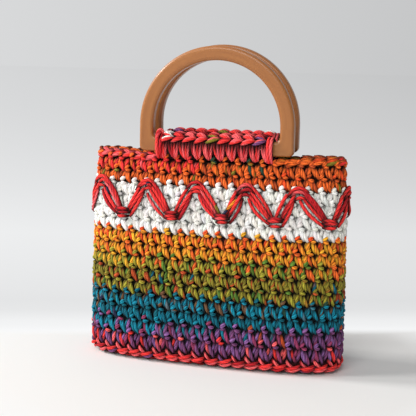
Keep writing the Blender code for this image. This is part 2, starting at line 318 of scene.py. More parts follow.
TALL_STITCH = Stitch(
    (0.06, 58.0, -2.6, 0.19, 108.0, -1.0, 0.44, 160.0, 1.3, 1.12, 0),
    (0.32, 58.0, -2.6, 0.4, 108.0, -0.8, 0.52, 160.0, 1.8, 1.14, 1),
    (0.62, 58.0, -2.6, 0.63, 108.0, -0.9, 0.6, 158.0, 1.4, 1.1, 0),
    (0.9, 58.0, -2.6, 0.85, 108.0, -1.1, 0.69, 156.0, 1.0, 1.12, 1),
    tips=0.55,
)
BACK_STITCH = Stitch(
    (0.1, -20.0, -2.4, 0.22, -92.0, -1.2, 0.4, -160.0, 1.2, 1.3, 0),
    (0.42, -20.0, -2.4, 0.46, -92.0, -1.1, 0.5, -160.0, 1.2, 1.3, 1),
    (0.8, -20.0, -2.4, 0.76, -92.0, -1.2, 0.6, -160.0, 1.2, 1.3, 1),
    tips=0.55,
)
PLAIT = Stitch(
    (-0.12, 70.0, -1.7, 0.46, 60.0, 0.2, 1.12, 42.0, -1.7, 1.42, 0),
    (-0.06, 62.0, -1.9, 0.5, 50.0, 0.0, 1.1, 38.0, -1.9, 1.36, 1),
    (-0.1, 12.0, -1.8, 0.44, 22.0, 0.2, 1.02, 42.0, -1.8, 1.4, 1),
    (-0.04, 20.0, -1.9, 0.48, 34.0, 0.0, 1.04, 46.0, -1.9, 1.36, 0),
    (-0.1, 10.0, -1.8, 0.46, 3.0, 0.1, 1.05, -14.0, -1.8, 1.45, 1),
    (-0.06, -36.0, -1.8, 0.46, -26.0, 0.1, 1.05, -12.0, -1.8, 1.45, 0),
    (0.02, -16.0, -1.9, 0.5, -12.0, -0.2, 1.0, -2.0, -1.9, 1.35, 0),
)
CASING_END = Stitch(
    (0.0, -12.0, -1.2, 0.0, 78.0, -0.2, 0.0, 160.0, 1.8, 1.35, 0),
    (0.0, -150.0, 0.6, 0.0, -80.0, -1.2, 0.0, -8.0, -1.2, 1.35, 1),
    tips=0.7,
)
KNOT = Stitch(
    (-0.02, 66.0, -1.6, 0.1, 34.0, 1.6, 0.22, 2.0, -1.2, 1.7, 0),
    (-0.08, 40.0, -1.4, 0.16, 16.0, 2.2, 0.46, 18.0, -1.2, 1.6, 1),
    (0.04, -20.0, -1.4, 0.12, 2.0, 1.8, 0.34, 30.0, -1.0, 1.5, 0),
    tips=0.6,
)


def through(points: Array, steps: int) -> Array:
    """Points on the parabola through three points.

    P(t) = A(1-t)(1-2t) + 4Bt(1-t) + Ct(2t-1), so that P is A, B and C at t = 0, 1/2 and 1.

    Args:
        points: an array whose last two axes are the three points and their coordinates.
        steps: how many points to give.

    Returns:
        The same array with steps points in place of the three.
    """
    t = np.linspace(0.0, 1.0, steps)
    weights = np.stack([(1 - t) * (1 - 2 * t), 4 * t * (1 - t), t * (2 * t - 1)], axis=1)
    return np.einsum("kc,...cd->...kd", weights, points)


def feed(tree: Tree, node: bpy.types.Node, inputs: Mapping[str | int, object]) -> None:
    """Links a node's inputs to the sockets given for them, or sets their values."""
    for key, value in inputs.items():
        if isinstance(value, Socket):
            tree.links.new(value, node.inputs[key])
        else:
            node.inputs[key].default_value = value


def add_node(
    tree: Tree, kind: str, inputs: Optional[Mapping[str | int, object]] = None, **settings: object
) -> bpy.types.Node:
    """Adds a shader node, with its own settings and then its inputs."""
    node = tree.nodes.new(f"ShaderNode{kind}")
    for name, value in settings.items():
        setattr(node, name, value)
    feed(tree, node, inputs or {})
    return node


def math_node(tree: Tree, kind: str, *values: float | Socket, clamp: bool = False) -> Socket:
    """Adds a Math node whose inputs are numbers or sockets, and gives its output."""
    return add_node(tree, "Math", dict(enumerate(values)), operation=kind, use_clamp=clamp).outputs[0]


def ramp_node(tree: Tree, share: Socket, stops: Sequence[tuple[float, Sequence[float]]]) -> Socket:
    """Adds a ramp through stops of a position and an sRGB colour, and gives its colour."""
    ramp = add_node(tree, "ValToRGB", {"Fac": share})
    elements = ramp.color_ramp.elements
    elements.remove(elements[1])
    for number, (position, colour) in enumerate(stops):
        stop = elements.new(position) if number else elements[0]
        stop.position = position
        stop.color = (*to_linear(colour), 1.0)
    return ramp.outputs["Color"]


def new_object(name: str, data: bpy.types.ID) -> bpy.types.Object:
    """Puts an object with its data in the scene."""
    made = bpy.data.objects.new(name, data)
    bpy.context.scene.collection.objects.link(made)
    return made


def new_material(name: str) -> tuple[bpy.types.Material, Tree, bpy.types.Node]:
    """An empty node material with its node tree and its Principled shader."""
    made = bpy.data.materials.new(name)
    made.use_nodes = True
    return made, made.node_tree, made.node_tree.nodes["Principled BSDF"]


def ply_twist_group() -> Tree:
    """The group for plied yarn: a colour with painted shade in the grooves and a painted highlight on the ridges, the
    plies' height and the fuzz's height.

    With p = plies u + turns v, u round the strand and v along it, the plies' height is |sin(pi p)|^0.7. The second
    colour winds round the strand once in four plies, by a soft step in sin(pi p / 2) moved by slow noise. The colour is
    multiplied by 1 + ply shade (0.29 - (1 - height)), a painted shade in the grooves and a painted highlight on the
    ridges, by slow and fine noise, and by 1 - the painted shade that the mesh gives where strands go down between
    others.
    """
    found = bpy.data.node_groups.get("ply_twist")
    if found:
        return found
    tree = bpy.data.node_groups.new("ply_twist", "ShaderNodeTree")
    given_kinds = {
        "Colour": "Color", "Second": "Color", "Tuck": "Float", "Map": "Vector", "Place": "Vector", "Plies": "Float",
        "Turns": "Float", "Ply Shade": "Float",
    }
    result_kinds = {"Colour": "Color", "Twist": "Float", "Fuzz": "Float"}
    for way, kinds in (("INPUT", given_kinds), ("OUTPUT", result_kinds)):
        for name, kind in kinds.items():
            tree.interface.new_socket(name=name, in_out=way, socket_type=f"NodeSocket{kind}")
    given = tree.nodes.new("NodeGroupInput").outputs
    calc = partial(math_node, tree)
    u, v, _ = add_node(tree, "SeparateXYZ", {0: given["Map"]}).outputs
    phase = calc("MULTIPLY_ADD", v, given["Turns"], calc("MULTIPLY", u, given["Plies"]))
    ridge = calc("POWER", calc("ABSOLUTE", calc("SINE", calc("MULTIPLY", phase, math.pi))), 0.7)
    fine = add_node(tree, "TexNoise", {"Scale": 2200.0, "Detail": 3.0, "Vector": given["Place"]}).outputs["Fac"]
    slow = add_node(tree, "TexNoise", {"Scale": 260.0, "Detail": 2.0, "Vector": given["Place"]}).outputs["Fac"]
    wound = calc("SINE", calc("MULTIPLY", phase, math.pi / 2))
    moved = calc("ADD", wound, calc("MULTIPLY_ADD", slow, 3.0, -1.5))
    other = calc("MULTIPLY_ADD", moved, 2.0, 0.4, clamp=True)
    pick = add_node(tree, "Mix", {0: other, 6: given["Colour"], 7: given["Second"]}, data_type="RGBA")
    # Painted light: the ridges are lifted over the colour and the grooves darkened.
    crown = calc("MULTIPLY_ADD", given["Ply Shade"], 0.29, 1.0)
    painted_ply_light = calc("SUBTRACT", crown, calc("MULTIPLY", calc("SUBTRACT", 1.0, ridge), given["Ply Shade"]))
    worn = calc("MULTIPLY_ADD", slow, 0.36, 0.82)
    fuzzed = calc("MULTIPLY_ADD", fine, 0.24, 0.88)
    shade = calc("MULTIPLY", calc("MULTIPLY", painted_ply_light, worn), fuzzed)
    shade = calc("MULTIPLY", shade, calc("SUBTRACT", 1.0, given["Tuck"]))
    mix = add_node(tree, "VectorMath", operation="SCALE")
    feed(tree, mix, {0: pick.outputs[2], "Scale": shade})
    result = tree.nodes.new("NodeGroupOutput")
    feed(tree, result, {"Colour": mix.outputs[0], "Twist": ridge, "Fuzz": fine})
    return tree


@dataclass(frozen=True)
class YarnFinish:
    """Matt cotton yarn: its colour comes from the mesh, darkened by painted shade where a strand dives in, with plies
    and fuzz, painted shade in the ply grooves and a painted highlight on their ridges.
    """

    name: str = "cotton_yarn"
    roughness: float = 0.8
    sheen: float = 0.03
    plies: float = 4.0
    turns: float = 2.0
    # Painted shade in the ply grooves, with a painted highlight on the ridges in step with it.
    ply_shade: float = 0.85
    twist_bump: float = 0.8
    fuzz_bump: float = 0.2

    def build(self) -> bpy.types.Material:
        """Makes the material, or gives the one already made."""
        if self.name in bpy.data.materials:
            return bpy.data.materials[self.name]
        made, tree, shader = new_material(self.name)
        ply = add_node(
            tree,
            "Group",
            {
                "Colour": add_node(tree, "Attribute", attribute_name="yarn_colour").outputs["Color"],
                "Second": add_node(tree, "Attribute", attribute_name="ply_colour").outputs["Color"],
                "Tuck": add_node(tree, "Attribute", attribute_name="tuck").outputs["Fac"],
                "Map": add_node(tree, "UVMap", uv_map="ply").outputs["UV"],
                "Place": add_node(tree, "TexCoord").outputs["Object"],
                "Plies": self.plies,
                "Turns": self.turns,
                "Ply Shade": self.ply_shade,
            },
            node_tree=ply_twist_group(),
        ).outputs
        twist = {"Strength": self.twist_bump, "Distance": 0.4 * MM, "Height": ply["Twist"]}
        twisted = add_node(tree, "Bump", twist).outputs["Normal"]
        fuzz = {"Strength": self.fuzz_bump, "Distance": 0.2 * MM, "Height": ply["Fuzz"], "Normal": twisted}
        bumped = add_node(tree, "Bump", fuzz).outputs["Normal"]
        look = {
            "Base Color": ply["Colour"], "Roughness": self.roughness, "Specular IOR Level": 0.2,
            "Sheen Weight": self.sheen, "Sheen Roughness": 0.5, "Normal": bumped,
        }
        feed(tree, shader, look)
        return made


@dataclass(frozen=True)
class WoodFinish:
    """Satin honey-coloured wood with a faint grain that follows the handle."""

    name: str = "honey_wood"
    light: tuple[int, int, int] = (174, 111, 52)
    dark: tuple[int, int, int] = (156, 94, 42)
    roughness: float = 0.42
    spread: float = 0.12
    coat: float = 0.3

    def build(self) -> bpy.types.Material:
        """Makes the material, or gives the one already made."""
        if self.name in bpy.data.materials:
            return bpy.data.materials[self.name]
        made, tree, shader = new_material(self.name)
        along = add_node(tree, "UVMap", uv_map="grain").outputs["UV"]
        drawn = add_node(tree, "Mapping", {"Vector": along, "Scale": (12.0, 260.0, 1.0)}).outputs["Vector"]
        noise = {"Vector": drawn, "Scale": 1.0, "Detail": 5.0, "Distortion": 0.4}
        grain = add_node(tree, "TexNoise", noise).outputs["Fac"]
        bump = add_node(tree, "Bump", {"Strength": 0.02, "Distance": 0.1 * MM, "Height": grain})
        look = {
            "Base Color": ramp_node(tree, grain, ((0.25, self.dark), (0.8, self.light))),
            "Roughness": math_node(tree, "MULTIPLY_ADD", grain, self.spread, self.roughness - self.spread / 2),
            "Coat Weight": self.coat, "Coat Roughness": 0.2, "Normal": bump.outputs["Normal"],
        }
        feed(tree, shader, look)
        return made


class YarnMesh:
    """One mesh made of many strands and shells, gathered as whole arrays and written once."""

    def __init__(self, name: str, shade: float = 0.97) -> None:
        """Starts an empty mesh with the piece's name, and how dark its painted shade gets deep in the fabric."""
        self.name = name
        self.shade = shade
        self.points, self.corners, self.sizes, self.maps, self.colours, self.painted_shades = ([] for _ in range(6))
        self.count = 0

    def add_strands(
        self, paths: Array, outward: Array, radii: Array, depths: Array, colours: Array, sides: int = 8
    ) -> None:
        """Adds round tubes along paths, closed by flat caps.

        A ring is P + r (cos a B + sin a N), with B the cross product of the path's slope and the outward direction, and
        N square to both. What would go below the floor rests flat on it. A point's painted shade goes from 0 just over
        the crowns of the fabric to the mesh's shade 1.15 mm below them, by depth + r sin a, darkening the strands where
        they go down between others.

        Args:
            paths: points, with the steps along a strand and the coordinates as the last two axes.
            outward: outward directions at those points.
            radii: thicknesses at those points.
            depths: distances outwards from the crowns, mostly negative.
            colours: the linear colours of each strand's yarn and of its second ply, as six numbers.
            sides: faces round a tube.
        """
        steps = paths.shape[-2]
        paths, outward = paths.reshape(-1, steps, 3), outward.reshape(-1, steps, 3)
        radii, depths = radii.reshape(-1, steps), depths.reshape(-1, steps)
        strands = len(paths)
        slope = np.gradient(paths, axis=1)
        slope /= np.linalg.norm(slope, axis=2)[..., None]
        beside = np.cross(slope, outward)
        beside /= np.linalg.norm(beside, axis=2)[..., None]
        over = np.cross(beside, slope)
        turn = np.arange(sides) * 2 * math.pi / sides
        ring = np.cos(turn)[:, None] * beside[:, :, None] + np.sin(turn)[:, None] * over[:, :, None]
        points = paths[:, :, None] + ring * radii[:, :, None, None]
        points[..., 2] = np.maximum(points[..., 2], 0.0)
        number = self.count + np.arange(strands * steps * sides).reshape(strands, steps, sides)
        here, ahead = number[:, :-1], number[:, 1:]
        quads = np.stack([here, ahead, np.roll(ahead, -1, 2), np.roll(here, -1, 2)], axis=-1)
        pieces = np.linalg.norm(np.diff(paths, axis=1), axis=2)
        length = np.concatenate([np.zeros((strands, 1)), np.cumsum(pieces, axis=1)], axis=1) / TWIST_LENGTH
        length += np.mod(np.arange(strands) * TWIST_OFFSET, 1.0)[:, None]
        around = np.arange(sides) / sides
        low, high, left = np.broadcast_arrays(length[:, :-1, None], length[:, 1:, None], around)
        right = left + 1 / sides
        maps = np.stack([left, low, left, high, right, high, right, low], axis=-1).reshape(-1, 2)
        self._keep(points.reshape(-1, 3), quads, maps)
        for cap, at in ((number[:, 0], length[:, :1]), (number[:, -1, ::-1], length[:, -1:])):
            self._keep(np.zeros((0, 3)), cap, np.stack(np.broadcast_arrays(around, at), axis=-1).reshape(-1, 2))
        self.colours.append(np.repeat(colours.reshape(-1, 6), steps * sides, axis=0))
        # Painted shade: the deeper a point lies under the crowns, the darker its colour.
        depth = depths[:, :, None] + radii[:, :, None] * np.sin(turn)
        self.painted_shades.append(self.shade * np.clip((PAINTED_SHADE_START - depth) / PAINTED_SHADE_REACH, 0.0, 1.0).reshape(-1))

    def add_ring(self, loops: Array, yarn: Yarn) -> None:
        """Adds a closed shell through equal closed loops, whose last loop joins the first, painted dark as shade.

        Args:
            loops: points, as loop by step by 3, wound so that the faces look outwards.
            yarn: the yarn whose colour it takes.
        """
        rows, steps, _ = loops.shape
        number = self.count + np.arange(rows * steps).reshape(rows, steps)
        after = np.roll(number, -1, axis=0)
        quads = np.stack([number, np.roll(number, -1, 1), np.roll(after, -1, 1), after], axis=-1)
        self._keep(loops.reshape(-1, 3), quads, np.zeros((quads.size, 2)))
        self.colours.append(np.tile(yarn.both_plies(), (rows * steps, 1)))
        # The mesh's full painted shade, so the shell shows dark in the gaps.
        self.painted_shades.append(np.full(rows * steps, self.shade))

    def _keep(self, points: Array, faces: Array, maps: Array) -> None:
        """Stores one batch of points and of faces, whose last axis is their corners."""
        self.points.append(points)
        self.corners.append(faces.reshape(-1))
        self.sizes.append(np.full(faces.size // faces.shape[-1], faces.shape[-1]))
        self.maps.append(maps)
        self.count += len(points)

    def build(self, slot: str, node: str, finish: YarnFinish = YarnFinish()) -> None:
        """Writes the mesh as one object that rides on the bag.

        Args:
            slot: not used.
            node: the CAD node it stands for.
            finish: its material.
        """
        mesh = bpy.data.meshes.new(self.name)
        sizes = np.concatenate(self.sizes)
        corners = np.concatenate(self.corners).astype(np.int32)
        mesh.vertices.add(self.count)
        mesh.vertices.foreach_set("co", np.concatenate(self.points).astype(np.float32).ravel())
        mesh.loops.add(len(corners))
        mesh.loops.foreach_set("vertex_index", corners)
        mesh.polygons.add(len(sizes))
        mesh.polygons.foreach_set("loop_start", (np.cumsum(sizes) - sizes).astype(np.int32))
        mesh.update(calc_edges=True)
        mesh.uv_layers.new(name="ply").uv.foreach_set("vector", np.concatenate(self.maps).astype(np.float32).ravel())
        both = np.concatenate(self.colours)
        for name, first in (("yarn_colour", 0), ("ply_colour", 3)):
            colour = mesh.color_attributes.new(name, "FLOAT_COLOR", "POINT")
            rgba = np.concatenate([both[:, first : first + 3], np.ones((self.count, 1))], axis=1)
            colour.data.foreach_set("color", rgba.astype(np.float32).ravel())
        # The painted shade, which the yarn material takes off the colour.
        tuck = mesh.attributes.new("tuck", "FLOAT", "POINT")
        tuck.data.foreach_set("value", np.concatenate(self.painted_shades).astype(np.float32))
        show(mesh, finish.build(), "bag", node)


def show(mesh: bpy.types.Mesh, finish: bpy.types.Material, body: str, node: str) -> None:
    """Shows a smooth mesh as an object that rides on a body, in place of a CAD node."""
    mesh.shade_smooth()
    mesh.materials.append(finish)
    made = new_object(mesh.name, mesh)
    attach(made, body)
    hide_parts(node)
    log.info("%s: %d faces, %d triangles", mesh.name, len(mesh.polygons), len(mesh.loops) - 2 * len(mesh.polygons))


@dataclass(frozen=True)
class Stretch:
    """Yarns used from one share of a round onwards: the two held together, and how often another one shows."""

    start: float
    first: Yarn
    second: Yarn
    flecks: tuple[Yarn, ...] = ()
    fleck_rate: float = 0.06
    thread: Optional[Yarn] = None


Stretches = tuple[Stretch, ...]


def plain(first: Yarn, second: Yarn, *flecks: Yarn, rate: float = 0.06, thread: Optional[Yarn] = None) -> Stretches:
    """One stretch that goes all the way round, from the left end by the front."""
    return (Stretch(-0.30, first, second, flecks, rate, thread),)


BANDS = {
    "purple": (
        11.8 * MM,
        plain(VIOLET, PLUM, MAUVE, RED, ROSE, rate=0.3, thread=MAUVE),
        (
            Stretch(-0.30, SKY, SKY, (MAUVE, VIOLET), 0.2, TEAL),
            Stretch(-0.07, SKY, PLUM, (MAUVE, VIOLET), 0.25, VIOLET),
            Stretch(0.03, VIOLET, PLUM, (MAUVE, RUST, TEAL), 0.14, MAUVE),
            Stretch(0.60, SKY, PLUM, (MAUVE,), 0.2, PLUM),
        ),
    ),
    "teal": (
        10.7 * MM,
        plain(SKY, TEAL, BROWN, NAVY, rate=0.04, thread=TEAL),
        plain(TEAL, SKY, BROWN, FOREST, rate=0.16, thread=BROWN),
    ),
    "green": (
        10.3 * MM,
        plain(OLIVE, LIME, RUST, GREEN, OLIVE, rate=0.25, thread=RUST),
        plain(LIME, OLIVE, RUST, TEAL, GREEN, rate=0.12, thread=RUST),
        (
            Stretch(-0.30, LIME, GOLD, (GREEN, ORANGE), 0.15, OLIVE),
            Stretch(-0.12, LIME, LIME, (GREEN, ORANGE, AMBER), 0.45, ORANGE),
        ),
    ),
    "yellow": (
        9.8 * MM,
        plain(GOLD, AMBER, ORANGE, rate=0.12, thread=ORANGE),
        plain(FLAME, AMBER, ORANGE, GOLD, rate=0.3, thread=GOLD),
    ),
    "white": (9.4 * MM,) + (plain(WHITE, WHITE),) * 4,
    "orange": (
        9.8 * MM,
        plain(ORANGE, ORANGE, OLIVE, RUST, FLAME, rate=0.2, thread=RUST),
        (
            Stretch(-0.30, ORANGE, RED, (ROSE, FLAME), 0.15, RED),
            Stretch(-0.03, ORANGE, ORANGE, (RUST, FOREST), 0.1, OLIVE),
            Stretch(0.10, ORANGE, ORANGE, (RUST, FLAME), 0.14, RUST),
        ),
    ),
}
RIGHT_RIM = (
    Stretch(0.0, ORANGE, ORANGE, (FLAME, OLIVE), 0.12, AMBER),
    Stretch(0.234, RED, RUST, (ORANGE,), 0.1),
    Stretch(0.262, ORANGE, RUST, (OLIVE,), 0.1),
)
LEFT_RIM = (Stretch(0.5, ORANGE, RUST, (FOREST,), 0.06), Stretch(0.775, ROSE, ROSE, (RED,), 0.25, ROSE))
BASE_YARN = plain(RED, ROSE, CRIMSON, PLUM, rate=0.16, thread=CRIMSON)
ZIGZAG_YARN = plain(RED, RED, ROSE, CRIMSON, rate=0.3, thread=RED)
CASING_YARN = plain(RED, ROSE, ROSE, CRIMSON, rate=0.2, thread=ROSE)
CASING_FLECKS = ((-40.5, WHITE, 1), (-1.4, OLIVE, 0), (35.3, PLUM, 0))


def yarn_colours(stretches: Stretches | Yarn, share: Array, yarn: Array, dice: Dice) -> Array:
    """The linear colours of each strand in a round: the yarn's and its second ply's.

    A strand takes the stretch that its share falls in and one of its two yarns, then now and then a fleck, and its
    lightness varies by a few hundredths. The second ply leans towards the stretch's thread, or is a little darker.

    Args:
        stretches: the round's stretches, in order, or a yarn that is used as it is.
        share: the strands' shares of the way round.
        yarn: 0 or 1 for each strand.
        dice: the seeded random numbers.

    Returns:
        Six numbers for each strand, three for each colour.
    """
    if isinstance(stretches, Yarn):
        return np.broadcast_to(stretches.both_plies(), share.shape + (6,))
    at = np.mod(share - stretches[0].start, 1.0) + stretches[0].start
    result = np.zeros(share.shape + (6,))
    for stretch in stretches:
        here = np.stack([stretch.first.linear(), stretch.second.linear()])[yarn]
        if stretch.flecks:
            others = np.stack([other.linear() for other in stretch.flecks])
            picked = others[dice.integers(0, len(others), share.shape)]
            here = np.where((dice.random(share.shape) < stretch.fleck_rate)[..., None], picked, here)
        other = stretch.thread.linear() if stretch.thread else here * 0.8
        lean = np.clip(dice.random(share.shape + (1,)) * 1.6 - 0.4, 0.0, 0.95)
        both = np.concatenate([here, here * (1 - lean) + other * lean], axis=-1)
        result = np.where((at >= stretch.start)[..., None], both, result)
    tone = 1 + dice.normal(0.0, 0.07, share.shape + (1,)) + dice.normal(0.0, 0.02, share.shape + (3,))
    return np.clip(result * np.concatenate([tone, tone], axis=-1), 0.0, 1.0)


@dataclass
class StitchField:
    """Lays copies of a stitch in a mesh, along rounds of the bag's surface."""

    surface: BagSurface
    mesh: YarnMesh
    dice: Dice
    jitter: float = 0.03
    depth_jitter: float = 0.2

    def lay(
        self, stitch: Stitch, yarns: Stretches | Yarn, shares: Array, level: float | Array, size: tuple[float, float],
        inside: bool = False, steps: int = 8, sides: int = 8, fat: float = 1.0, own_crowns: bool = False,
    ) -> None:
        """Adds one round of stitches.

        Args:
            stitch: the stitch.
            yarns: what it is worked in.
            shares: where each copy starts on the round.
            level: the level of the round's lower edge, one for all or one for each copy.
            size: a copy's width as a share of the round, and the round's height.
            inside: whether the stitches lie on the inside of the bag.
            steps: points along a strand.
            sides: faces round a strand.
            fat: how much thicker the strands are.
            own_crowns: whether depths count from 1 mm over each strand's own middle, not from the fabric's skin.
        """
        knots, yarn = stitch.copies(len(shares))
        knots[..., :2] += self.dice.normal(0.0, self.jitter, knots.shape[:-2] + (1, 2))
        knots[..., :2] += self.dice.normal(0.0, self.jitter * 0.5, knots.shape[:-1] + (2,))
        knots[..., 1, 2] += self.dice.normal(0.0, self.depth_jitter, knots.shape[:-2])
        path = through(knots, steps)
        share = shares[:, None, None] + path[..., 0] * size[0]
        deep = path[..., 2] * MM
        out = -self.surface.wall - deep if inside else deep
        points, outward = self.surface.place(share, level + path[..., 1] * size[1], out)
        if own_crowns:
            deep = deep - knots[..., 1, 2, None] * MM - OWN_CROWN
        radii = stitch.radii(len(shares), steps, self.dice, fat)
        colours = yarn_colours(yarns, share[..., steps // 2], yarn, self.dice)
        self.mesh.add_strands(points, outward * stitch.facing, radii, deep, colours, sides)


@dataclass
class StripedWall:
    """The rounds of the wall, one piece for each band, with the reverse of the stitches inside."""

    surface: BagSurface
    gap: float = 0.3 * MM
    core_out: float = 3.3 * MM
    core_in: float = 4.4 * MM
    core_step: float = 5 * MM
    shift: float = 0.2
    shade: float = 0.97
    pale_shade: float = 0.62
    white_fat: float = 1.16
    seed: int = 11

    def build(self) -> None:
        """Builds every band from the base up, each round over a shell that no light comes through, painted dark as
        shade.
        """
        coloured, white = YarnFinish(), YarnFinish("white_cotton_yarn", ply_shade=0.24, twist_bump=0.6)
        dice = np.random.default_rng(self.seed)
        width = 1 / self.surface.stitches
        stitches = np.arange(self.surface.stitches) / self.surface.stitches
        level = self.surface.foot + self.gap
        number = 0
        for name, (height, *rounds) in BANDS.items():
            # The mesh's painted shade is lighter for pale yarn.
            lightness = float(rounds[0][0].first.linear().min())
            mesh = YarnMesh(f"{name}_stitches", self.shade - self.pale_shade * lightness)
            field_of = StitchField(self.surface, mesh, dice)
            finish, fat = (white, self.white_fat) if name == "white" else (coloured, 1.0)
            for stretches in rounds:
                low, high = level - self.gap / 2, level + height + self.gap / 2
                levels = np.linspace(low, high, max(3, round((high - low) / self.core_step)))
                # A shell painted dark as shade, to show in the gaps between the strands.
                mesh.add_ring(self.surface.shell(levels, self.core_out, self.core_in), stretches[0].first)
                place = (stitches + number * self.shift * width, level, (width, height))
                field_of.lay(STITCH, stretches, *place, fat=fat)
                field_of.lay(INSIDE_STITCH, stretches, *place, inside=True, steps=5, sides=6)
                level += height
                number += 1
            level += self.gap
            mesh.build(f"{name}_yarn", f"{name}_rounds", finish)


@dataclass
class WovenBase:
    """The underside in flat rounds, and the red chain worked round its edge."""

    surface: BagSurface
    chain_height: float = 10 * MM
    core_out: float = 2.6 * MM
    core_in: float = 4.4 * MM
    seed: int = 5
    rounds: tuple[tuple[float, float, int], ...] = ((-0.0135, 0.0085, 40), (-0.0215, 0.0085, 36), (-0.0272, 0.0062, 32))

    def build(self) -> None:
        """Builds the base as one piece."""
        mesh = YarnMesh("base_stitches", shade=0.85)
        field_of = StitchField(self.surface, mesh, np.random.default_rng(self.seed))
        count = self.surface.stitches
        field_of.lay(EDGE_CHAIN, BASE_YARN, np.arange(count) / count, 0.0, (1 / count, self.chain_height))
        for level, height, count in self.rounds:
            starts, size = np.arange(count) / count, (1 / count, height)
            field_of.lay(UNDERSIDE_STITCH, BASE_YARN, starts, level, size, steps=5, sides=6)
        levels = np.concatenate([np.linspace(-0.0283, -0.006, 6), np.linspace(-0.004, 0.0102, 8)])
        # A shell under the strands, painted dark as shade.
        mesh.add_ring(self.surface.shell(levels, self.core_out, self.core_in), CRIMSON)
        mesh.build("red_yarn", "base_panel")


@dataclass
class RimChain:
    """The chain round the mouth, in a left and a right half between the two casings."""

    surface: BagSurface
    bottom: float = 0.1648
    height: float = 4.6 * MM
    reach: float = 47.6 * MM
    end_lift: float = 1.8 * MM
    lift_start: float = 0.062
    lift_run: float = 0.016
    core_level: float = 0.34
    core_out: float = -3.9 * MM
    core_depth: float = -2.4 * MM
    core_radius: float = 1.4 * MM
    core_steps: int = 60
    seed: int = 23

    def crossing(self, x: float, rear: bool) -> float:
        """The share at which the outline crosses x at the rim, on the front or the rear."""
        share = np.linspace(-0.25, 0.25, 2001) + (0.5 if rear else 0.0)
        return float(share[np.argmin(np.abs(self.surface.skin(share, self.bottom)[:, 0] - x))])

    def half(self, side: str, link: Stitch, start: float, end: float, stretches: Stretches) -> None:
        """Builds one half of the chain.

        Args:
            side: left or right.
            link: one link.
            start: the share where it starts.
            end: the share where it ends.
            stretches: its yarns.
        """
        links = round((end - start) * self.surface.stitches)
        width = (end - start) / links
        mesh = YarnMesh(f"rim_loops_{side}", shade=0.8)
        field_of = StitchField(self.surface, mesh, np.random.default_rng(self.seed))
        starts = start + np.arange(links) * width
        across = np.abs(self.surface.skin(starts + width / 2, self.bottom)[:, 0])
        raised = self.bottom + self.end_lift * np.clip((across - self.lift_start) / self.lift_run, 0.0, 1.0)
        field_of.lay(link, stretches, starts, raised[:, None, None], (width, self.height), own_crowns=True)
        # A strand along the middle, deep enough to be painted mostly dark as shade.
        share = np.linspace(start, end, self.core_steps)
        middle, outward = self.surface.place(share, self.bottom + self.core_level * self.height, self.core_out)
        alike = np.ones(self.core_steps)
        mesh.add_strands(middle, outward, alike * self.core_radius, alike * self.core_depth, RUST.both_plies())
        mesh.build("rim_yarn", f"rim_chain_{side}")

    def build(self) -> None:
        """Builds both halves."""
        self.half("right", BIG_LINK, self.crossing(self.reach, False), self.crossing(self.reach, True), RIGHT_RIM)
        start, end = self.crossing(-self.reach, True), self.crossing(-self.reach, False) + 1.0
        self.half("left", SMALL_LINK, start, end, LEFT_RIM)


@dataclass
class ZigzagBraid:
    """A loose red zigzag round the white rounds, with arches over the peaks and wraps at the valleys.

    Three strands go up to a peak and four come down from it.
    """

    surface: BagSurface
    zigzags: int = 11
    middle: float = 0.1323
    rise: float = 24.5 * MM
    valley: float = 2 / 88
    seed: int = 7

    def build(self) -> None:
        """Builds the braid as one piece: a zigzag of strands, and the few stretches dyed another colour."""
        mesh = YarnMesh("zigzag_strands")
        field_of = StitchField(self.surface, mesh, np.random.default_rng(self.seed), 0.016, 0.3)
        size = (1 / self.zigzags, self.rise)
        level = self.middle - self.rise / 2
        starts = self.valley + np.arange(self.zigzags) * size[0]
        field_of.lay(ZIGZAG, ZIGZAG_YARN, starts, level, size, steps=12, own_crowns=True)
        for number, yarn, strand in ZIGZAG_FLECKS:
            start = np.array([self.valley + number * size[0]])
            field_of.lay(Stitch(strand), yarn, start, level, size, own_crowns=True)
        mesh.build("red_yarn", "zigzag_braid")


